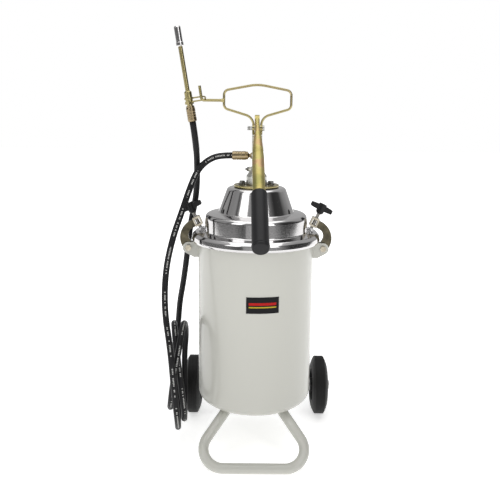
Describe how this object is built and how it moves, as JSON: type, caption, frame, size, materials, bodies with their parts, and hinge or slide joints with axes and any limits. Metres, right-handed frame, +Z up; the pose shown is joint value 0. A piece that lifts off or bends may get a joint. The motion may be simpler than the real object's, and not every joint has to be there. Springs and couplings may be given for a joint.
{
  "type": "wheeled grease pump",
  "caption": "Hand-lever bucket pump on wheels: grey drum, chrome stepped lid held by swing clamps, plated lever, loop handle, coiled hose with coupler.",
  "frame": {"origin": "on the floor, under the centre of the machine's box without its hose and nozzle", "axes": "+Z up, -Y to the front where the lever points, +X to the right seen from the front"},
  "size_m": [0.3871, 0.5225, 0.907],
  "materials": {
    "drum_paint": "satin warm grey enamel",
    "lid_chrome": "bright chrome",
    "black_rubber": "black rubber, slight sheen",
    "label_black": "glossy black film with red and yellow bars",
    "zinc_steel": "bright zinc plate",
    "yellow_zinc": "yellow passivated zinc",
    "cast_silver": "cast, zinc-silver paint",
    "ferrule_steel": "olive-tinted zinc, crimped",
    "bright_steel": "ground steel",
    "brass": "turned",
    "nickel": "dull nickel",
    "dark_arm": "dark olive-brown passivated plate",
    "black_plastic": "fine moulded texture",
    "tyre_rubber": "black solid rubber",
    "plate_steel": "grey"
  },
  "bodies": {
    "frame": {"drum": "drum_paint", "stand_foot": "drum_paint", "axle_brackets": "drum_paint", "clamp_lugs": "drum_paint", "lid": "lid_chrome", "coupler_body": "lid_chrome", "lid_gasket": "black_rubber", "flange_gasket": "black_rubber", "rod_seal": "black_rubber", "hose": "black_rubber", "label": "label_black", "axle": "zinc_steel", "axle_washers": "zinc_steel", "axle_caps": "zinc_steel", "fulcrum_pin": "zinc_steel", "split_pin": "zinc_steel", "bleed_screw": "zinc_steel", "clamp_pivot_bolts": "zinc_steel", "flange_bolts": "zinc_steel", "pump_flange": "yellow_zinc", "loop_handle": "yellow_zinc", "nozzle_adapter": "yellow_zinc", "nozzle_tube": "yellow_zinc", "hanger_ring": "yellow_zinc", "pump_head": "cast_silver", "hose_ferrule_pump": "ferrule_steel", "hose_ferrule_nozzle": "ferrule_steel", "outlet_fitting": "ferrule_steel", "pump_tube": "bright_steel", "coupler_jaws": "bright_steel", "foot_valve_seat": "brass"},
    "lever": {"lever": "yellow_zinc", "drive_pin": "zinc_steel", "lever_grip": "black_rubber"},
    "piston": {"piston_rod": "bright_steel", "piston": "cast_silver", "piston_seal": "black_rubber"},
    "wheel_right": {"tyre_right": "tyre_rubber", "hub_right": "black_plastic"},
    "wheel_left": {"tyre_left": "tyre_rubber", "hub_left": "black_plastic"},
    "clamp_right": {"clamp_arm_right": "dark_arm", "screw_housing_right": "nickel"},
    "clamp_left": {"clamp_arm_left": "dark_arm", "screw_housing_left": "nickel"},
    "pad_right": {"clamp_pad_right": "bright_steel"},
    "pad_left": {"clamp_pad_left": "bright_steel"},
    "screw_right": {"clamp_screw_right": "bright_steel", "clamp_knob_right": "black_plastic"},
    "screw_left": {"clamp_screw_left": "bright_steel", "clamp_knob_left": "black_plastic"},
    "follower": {"follower_plate": "plate_steel", "follower_seal": "black_rubber"},
    "valve": {"foot_valve_ball": "bright_steel"}
  },
  "joints": [
    {"name": "lever_swing", "type": "hinge", "parent": "frame", "child": "lever", "pos_m": [-0.007, 0.03327, 0.706], "axis": [-1, 0, 0], "range_deg": [0, 70]},
    {"name": "piston_stroke", "type": "slide", "parent": "frame", "child": "piston", "axis": [0, 0, 1], "range_m": [-0.0277, 0]},
    {"name": "follower_slide", "type": "slide", "parent": "frame", "child": "follower", "axis": [0, 0, 1], "range_m": [0, 0.32]},
    {"name": "foot_valve_lift", "type": "slide", "parent": "frame", "child": "valve", "axis": [0, 0, 1], "range_m": [0, 0.003]},
    {"name": "wheel_right_spin", "type": "hinge", "parent": "frame", "child": "wheel_right", "pos_m": [0.155, 0.19027, 0.071], "axis": [1, 0, 0], "continuous": true},
    {"name": "clamp_right_swing", "type": "hinge", "parent": "frame", "child": "clamp_right", "pos_m": [0.139, 0.05327, 0.4495], "axis": [0, 1, 0], "range_deg": [0, 100]},
    {"name": "clamp_right_travel", "type": "slide", "parent": "clamp_right", "child": "pad_right", "axis": [0.4258, 0, 0.9048], "range_m": [0, 0.003]},
    {"name": "clamp_right_turn", "type": "hinge", "parent": "pad_right", "child": "screw_right", "pos_m": [0.1113, 0.05327, 0.49], "axis": [0.4258, 0, 0.9048], "range_deg": [0, 720]},
    {"name": "wheel_left_spin", "type": "hinge", "parent": "frame", "child": "wheel_left", "pos_m": [-0.155, 0.19027, 0.071], "axis": [1, 0, 0], "continuous": true},
    {"name": "clamp_left_swing", "type": "hinge", "parent": "frame", "child": "clamp_left", "pos_m": [-0.153, 0.05327, 0.4495], "axis": [0, -1, 0], "range_deg": [0, 100]},
    {"name": "clamp_left_travel", "type": "slide", "parent": "clamp_left", "child": "pad_left", "axis": [-0.4258, 0, 0.9048], "range_m": [0, 0.003]},
    {"name": "clamp_left_turn", "type": "hinge", "parent": "pad_left", "child": "screw_left", "pos_m": [-0.1253, 0.05327, 0.49], "axis": [-0.4258, 0, 0.9048], "range_deg": [0, 720]}
  ],
  "couplings": [
    {"joint": "piston_stroke", "follows": "lever_swing", "m_per_rad": -0.02263},
    {"joint": "clamp_right_turn", "follows": "clamp_right_travel", "rad_per_m": 4188.7},
    {"joint": "clamp_left_turn", "follows": "clamp_left_travel", "rad_per_m": 4188.7}
  ]
}
